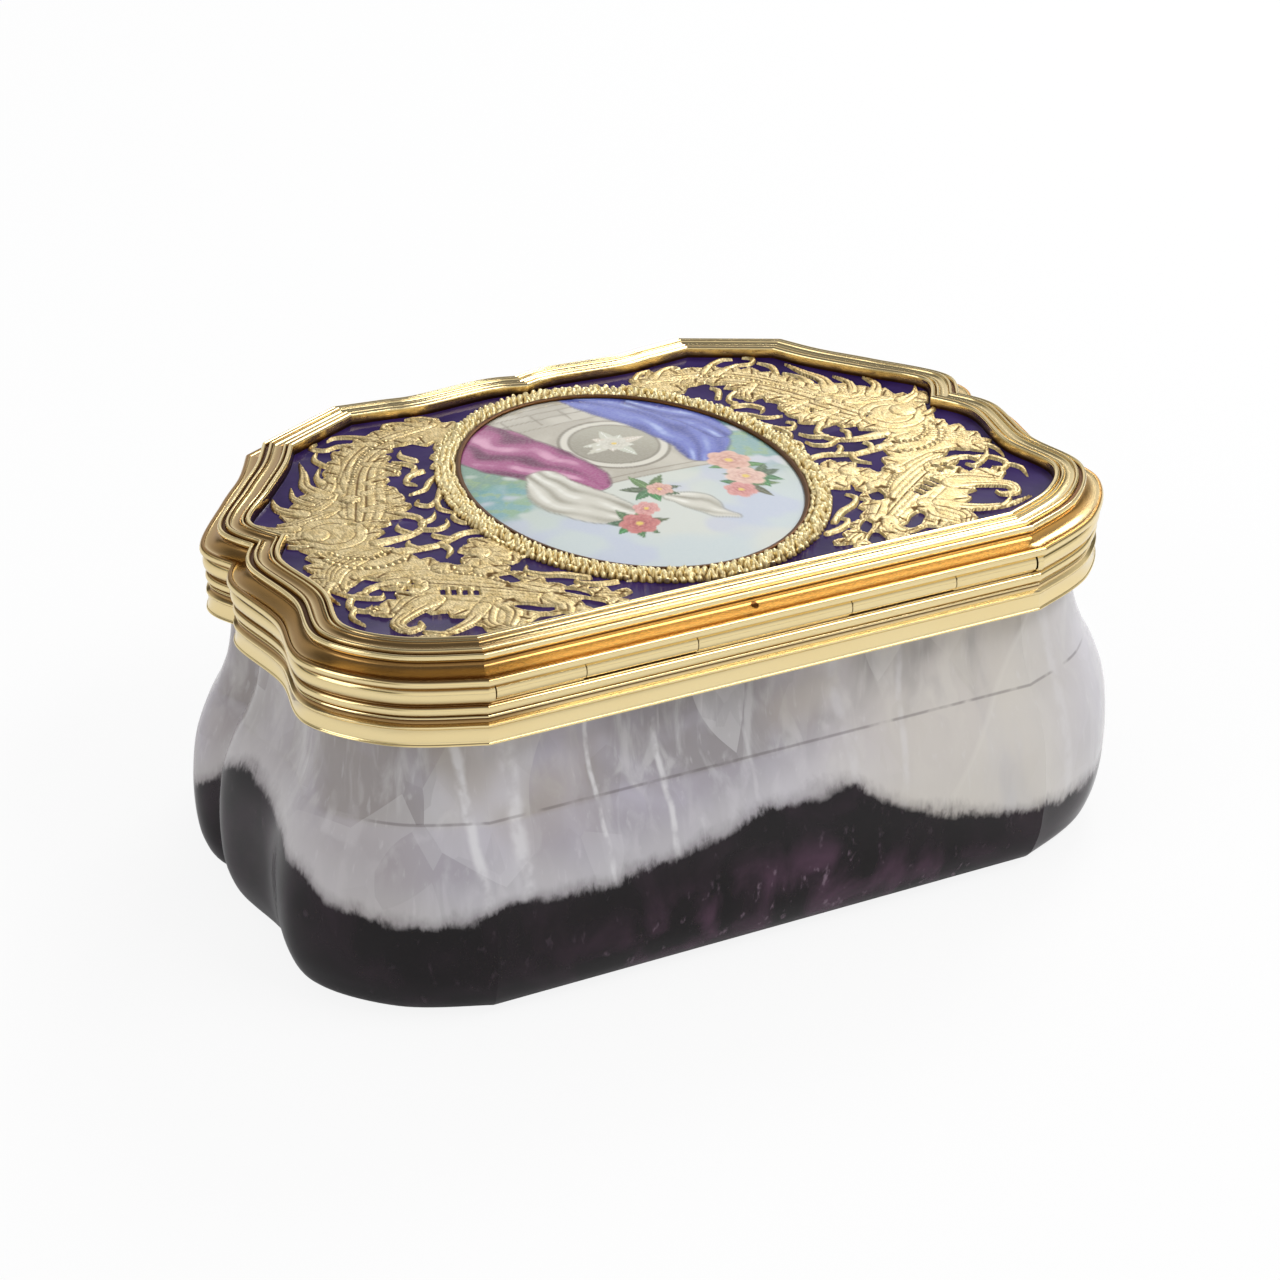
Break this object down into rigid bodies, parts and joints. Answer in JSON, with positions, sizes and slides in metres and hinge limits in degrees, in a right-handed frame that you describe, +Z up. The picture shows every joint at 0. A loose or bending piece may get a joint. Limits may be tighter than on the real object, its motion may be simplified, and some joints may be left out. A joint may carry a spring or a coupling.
{
  "type": "snuff box",
  "caption": "Cartouche-shaped box carved from banded fluorite with moulded gold mounts and a hinged enamelled lid with pierced scrollwork round an oval plaque.",
  "frame": {"origin": "on the table under the middle of the closed box", "axes": "+X along the hinge to the right when the hinge side faces the viewer, +Y from the hinge side to the opening side, +Z up"},
  "size_m": [0.083, 0.0586, 0.0344],
  "materials": {
    "fluorite": "polished, cloudy lavender grey above a dark purple-brown band, with pale upright streaks",
    "polished_gold": "polished pale yellow gold with fine wear on the reeds",
    "chased_gold": "chased and matted gold with burnished edges",
    "violet_enamel": "glossy translucent violet-blue enamel",
    "painted_enamel": "glossy painted enamel with a pale sky and soft colours",
    "copper": "plain copper sheet"
  },
  "bodies": {
    "box": {"stone_body": "fluorite", "body_mount": "polished_gold", "bezel": "polished_gold", "body_knuckle_left": "polished_gold", "body_knuckle_middle": "polished_gold", "body_knuckle_right": "polished_gold", "hinge_pin": "polished_gold", "pin_plug_left": "polished_gold", "pin_plug_right": "polished_gold"},
    "lid": {"lid_rim": "polished_gold", "lid_knuckle_left": "polished_gold", "lid_knuckle_right": "polished_gold", "lid_plate": "polished_gold", "lid_lining": "polished_gold", "enamel_ground": "violet_enamel", "scroll_left": "chased_gold", "scroll_right": "chased_gold", "wreath": "chased_gold", "collet": "polished_gold", "plaque_backing": "copper", "plaque": "painted_enamel"}
  },
  "joints": [
    {"name": "lid_hinge", "type": "hinge", "parent": "box", "child": "lid", "pos_m": [0, -0.0262, 0.031], "axis": [1, 0, 0], "range_deg": [0, 90]}
  ]
}
